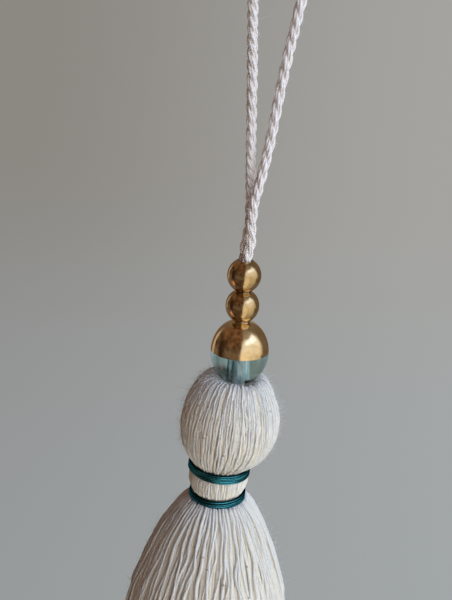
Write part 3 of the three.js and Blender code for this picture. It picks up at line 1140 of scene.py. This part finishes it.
# %% [markdown]
# ## The studio
# A plain pale sweep lies far below the tassel and rises behind it. A very large soft light stands to the
# right of the viewer, a warmer one lies below, where a table would throw light up, a smaller and bluer one
# stands higher like a window, and one stands behind. The world fills in what is left, dim and warm on the
# left. The lights are hidden from the camera, from mirrors and from glass, so they never block a view. The
# sweep has its own glow for the eye, so it stays even, apart from painted shade that makes it darker to the
# left, lighter to the right and bluer low down. Only mirrors see it dim towards its sides, with a pale
# strip that is a painted reflection of a lit door's edge.

# %% Helpers for the studio
FOCUS = middle("bead_glass")


def toward(azimuth, elevation, distance):
    """A point seen from the beads: azimuth 0 is towards the viewer, 90 to the right."""
    turn, rise = math.radians(azimuth), math.radians(elevation)
    away = Vector((math.sin(turn) * math.cos(rise), -math.cos(turn) * math.cos(rise), math.sin(rise)))
    return FOCUS + away * distance


# %% Shape of the sweep
SWEEP_DEPTH = 1.5
SWEEP_WIDTH = 6.0
FLOOR_LEVEL = -0.55
WALL_HEIGHT = 4
COVE_RADIUS = 0.5


def sweep_shape():
    bm = bmesh.new()
    bmesh.ops.create_grid(bm, x_segments=1, y_segments=1, size=SWEEP_WIDTH / 2)
    back = [edge for edge in bm.edges if all(vert.co.y > 0 for vert in edge.verts)]
    bmesh.ops.translate(bm, verts=bm.verts, vec=(0, SWEEP_DEPTH - SWEEP_WIDTH / 2, FLOOR_LEVEL))
    cove = {"cent": (0, SWEEP_DEPTH, FLOOR_LEVEL + COVE_RADIUS), "axis": (1, 0, 0), "angle": math.pi / 2}
    bent = bmesh.ops.spin(bm, geom=back, steps=24, **cove)["geom_last"]
    wall_foot = [item for item in bent if isinstance(item, bmesh.types.BMEdge)]
    wall = bmesh.ops.extrude_edge_only(bm, edges=wall_foot)["geom"]
    wall_top = [item for item in wall if isinstance(item, bmesh.types.BMVert)]
    bmesh.ops.translate(bm, verts=wall_top, vec=(0, 0, WALL_HEIGHT))
    bmesh.ops.recalc_face_normals(bm, faces=bm.faces)
    return bm


# %% Paint of the sweep
# Painted shade on the sweep's glow: darker to the left, lighter to the right, bluer low down.
SHADE_LEFT = colour(0.262, 0.250, 0.228)
SHADE_RIGHT = colour(0.376, 0.368, 0.352)
SHADE_LOW_LEFT = colour(0.288, 0.298, 0.302)
SHADE_LOW_RIGHT = colour(0.372, 0.398, 0.404)
# Painted reflections that only mirrors see: the sweep's dim sides and a lit door's edge.
FAR_RIGHT = colour(0.175, 0.135, 0.095)
FAR_LEFT = colour(0.18, 0.13, 0.09)
PAINTED_DOOR_REFLECTION = colour(0.66, 0.55, 0.44)
BEAD_DROP = 0.09


def ray_kinds(wire):
    """Whether a ray comes from the camera, from a mirror or through glass."""
    kinds = ("Camera", "Glossy", "Transmission")
    return [wire.node("LightPath", output=f"Is {kind} Ray") for kind in kinds]


def plain_sweep():
    """Pale grey that glows for the eye, with painted shade: darker to the left, lighter to the right and
    bluer low down. To mirrors its sides are dim, with a pale strip that is a painted reflection of a lit
    door's edge.
    """
    material, wire = start_material("plain_sweep")
    across, depth, height = wire.node("TexCoord", output="Object").parts()
    # Painted shade: the glow is darker to the left, lighter to the right and bluer low down.
    rightward = across.rise(-0.55, 0.5)
    drop = height - (SWEEP_DEPTH - depth) * 0.4
    upper = rightward.mix(SHADE_LEFT, SHADE_RIGHT)
    lower = rightward.mix(SHADE_LOW_LEFT, SHADE_LOW_RIGHT)
    shade = drop.rise(-0.25, -1.0).mix(upper, lower)
    paint = wire.node("BsdfDiffuse", None, {"Color": shade})

    eye, mirror, glass = ray_kinds(wire)
    polished = mirror.math("MAXIMUM", glass)
    behind = depth.rise(-0.2, 0.2)
    aside = across.math("ABSOLUTE").rise(0.35, 0.9)
    below = height.rise(-0.15, -0.5) * 0.8
    far_off = mirror * (1.0 - glass) * aside.math("MAXIMUM", below)
    # Painted reflection: mirrors see the sweep's sides dim, with a pale strip like a lit door's edge.
    sidelong = across.math("DIVIDE", depth)
    steep = (height + BEAD_DROP).math("DIVIDE", depth)
    door_reflection = sidelong.band(-1.7, -1.4, -1.05, -0.85) * steep.band(-0.8, -0.6, 0.0, 0.7)
    far_shade = door_reflection.mix(rightward.mix(FAR_LEFT, FAR_RIGHT), PAINTED_DOOR_REFLECTION)
    glow = wire.node("Emission", None, {"Color": far_off.mix(shade, far_shade), "Strength": 1.0})

    seen = eye.math("MAXIMUM", polished * behind)
    surface = wire.node("MixShader", None, {0: seen, 1: paint, 2: glow})
    clear = wire.node("BsdfTransparent")
    surface = wire.node("MixShader", None, {0: polished * (1.0 - behind), 1: surface, 2: clear})
    wire.node("OutputMaterial", None, {"Surface": surface})
    return material


sweep = new_object("sweep", sweep_shape())
sweep.data.materials.append(plain_sweep())
print("sweep faces:", len(sweep.data.polygons))


# %% Soft lights
def add_light(name, azimuth, elevation, distance, width, height, glow):
    """A rectangle of light that faces the beads. Glow is its brightness, as a colour where 1 is white."""
    light = bpy.data.lights.new(name, "AREA")
    light.shape = "RECTANGLE"
    light.size = width
    light.size_y = height
    peak = max(glow)
    light.energy = peak * math.pi * width * height
    light.color = [part / peak for part in glow]
    made = bpy.data.objects.new(name, light)
    place = toward(azimuth, elevation, distance)
    turn = (FOCUS - place).to_track_quat("-Z", "Y").to_matrix().to_4x4()
    made.matrix_world = Matrix.Translation(place) @ turn
    made.visible_camera = made.visible_glossy = made.visible_transmission = False
    bpy.context.scene.collection.objects.link(made)
    return made


# Each light's azimuth, elevation, distance, width, height and brightness.
add_light("bright_wall", 50, -11, 0.80, 1.75, 1.25, (0.845, 0.89, 0.89))
add_light("table_glow", 25, -62, 0.60, 1.2, 0.7, (1.78, 1.76, 1.52))
add_light("sky_window", 60, 40, 0.70, 0.9, 0.75, (0.97, 1.39, 2.10))
add_light("back_wall", 175, 5, 0.75, 0.9, 1.0, (1.0, 0.98, 0.93))


# %% [markdown]
# ## The room in the mirrors
# Polished metal shows the room round it, and in a bare studio it would look grey and flat. So metal and
# glass see a room that is painted on the world by its azimuth and elevation. Its wall is bright to the
# right and ends straight behind the viewer, which makes a bead bright on one side and dark on the other. A
# doorway, a window and a small warm lamp give the beads their highlights. Matt surfaces such as cotton are
# lit by the plain soft part of the world instead, so nothing bright in the room makes them noisy.

# %% Mirrored room
WALL_STOPS = [
    (0.0, (0.80, 0.62, 0.34)),
    (0.22, (0.52, 0.43, 0.24)),
    (0.33, (0.67, 0.56, 0.35)),
    (0.45, (0.80, 0.70, 0.48)),
    (0.55, (0.94, 0.86, 0.69)),
    (0.62, (1.04, 1.0, 0.88)),
    (0.69, (0.95, 0.90, 0.82)),
    (0.77, (0.42, 0.37, 0.29)),
    (1.0, (0.16, 0.11, 0.08)),
]


def mirrored_room(azimuth, elevation, cloud):
    """What metal and glass mirror: a bright wall and a window to the right, a dim room to the left."""
    patchy = cloud.rise(0.34, 0.66)
    low_dim = patchy.mix(colour(0.045, 0.027, 0.014), colour(0.175, 0.115, 0.075))
    high_dim = patchy.mix(colour(0.055, 0.028, 0.013), colour(0.23, 0.12, 0.06))
    dim = elevation.rise(5, 35).mix(low_dim, high_dim)
    ledge = azimuth.rise(-80, -50) * elevation.band(-24, -12, -4, 10)
    dim = (ledge * 0.5).mix(dim, colour(0.26, 0.20, 0.14))
    nook = azimuth.band(-100, -88, -74, -54) * elevation.band(-34, -16, 8, 24)
    dim = (nook * 0.85).mix(dim, colour(0.022, 0.011, 0.005))
    shade = azimuth.rise(20, 10).mix(FAR_RIGHT, dim)

    slanted = azimuth - (elevation - 8.0).math("MAXIMUM", 0.0) * 0.2
    wall_height = (elevation + 90.0) * (1 / 180)
    wall = wall_height.node("ValToRGB", {"stops": WALL_STOPS}, {"Fac": wall_height})
    shade = (slanted.rise(2, 6) * azimuth.rise(108, 90)).mix(shade, wall)
    doorway = azimuth.band(3, 7, 32, 42) * elevation.rise(14, -8)
    shade = (doorway * 0.85).mix(shade, colour(1.03, 0.87, 0.60))
    lintel = elevation - azimuth * 0.15
    window = slanted.rise(10, 24) * azimuth.rise(92, 82) * elevation.rise(27, 34) * lintel.rise(45, 36)
    shade = window.mix(shade, colour(1.4, 1.55, 1.75))

    lamp_glow = azimuth.band(-145, -120, -86, -72) * elevation.band(-62, -50, -36, -27)
    shade = lamp_glow.mix(shade, colour(0.72, 0.30, 0.115))
    lamp = azimuth.band(-120, -112, -86, -78) * elevation.band(-54, -48, -40, -34)
    return lamp.mix(shade, colour(2.2, 0.95, 0.40))


# %% World
def light_world():
    """Soft light from all round, dim and warm to the left, a room for mirrors and grey for the camera."""
    world = bpy.data.worlds.new("room")
    world.use_nodes = True
    world.node_tree.nodes.clear()
    wire = Wire(world.node_tree)
    way = wire.node("TexCoord", output="Generated")
    rightward, backward, upward = way.parts()
    azimuth = rightward.math("ARCTAN2", backward * -1.0) * math.degrees(1)
    elevation = upward.math("ARCSINE") * math.degrees(1)
    left_front = rightward.rise(0.06, -0.04) * backward.rise(0.8, 0.5)
    left_room = elevation.rise(-35, 10).mix(colour(0.265, 0.152, 0.085), colour(0.118, 0.060, 0.032))
    shade = left_front.mix(colour(0.285, 0.27, 0.25), left_room)
    eye, mirror, glass = ray_kinds(wire)
    room = mirrored_room(azimuth, elevation, way.noise(3.0, 4.5))
    shade = mirror.math("MAXIMUM", glass).mix(shade, room)
    shade = (glass * 0.6).mix(shade, colour(0.56, 0.70, 0.80))
    shade = eye.mix(shade, colour(0.335, 0.335, 0.325))
    glow = wire.node("Background", None, {"Color": shade, "Strength": 1.0})
    wire.node("OutputWorld", None, {"Surface": glow})
    bpy.context.scene.world = world


light_world()
bpy.context.scene.view_settings.view_transform = "Standard"
print("world:", bpy.context.scene.world.name)
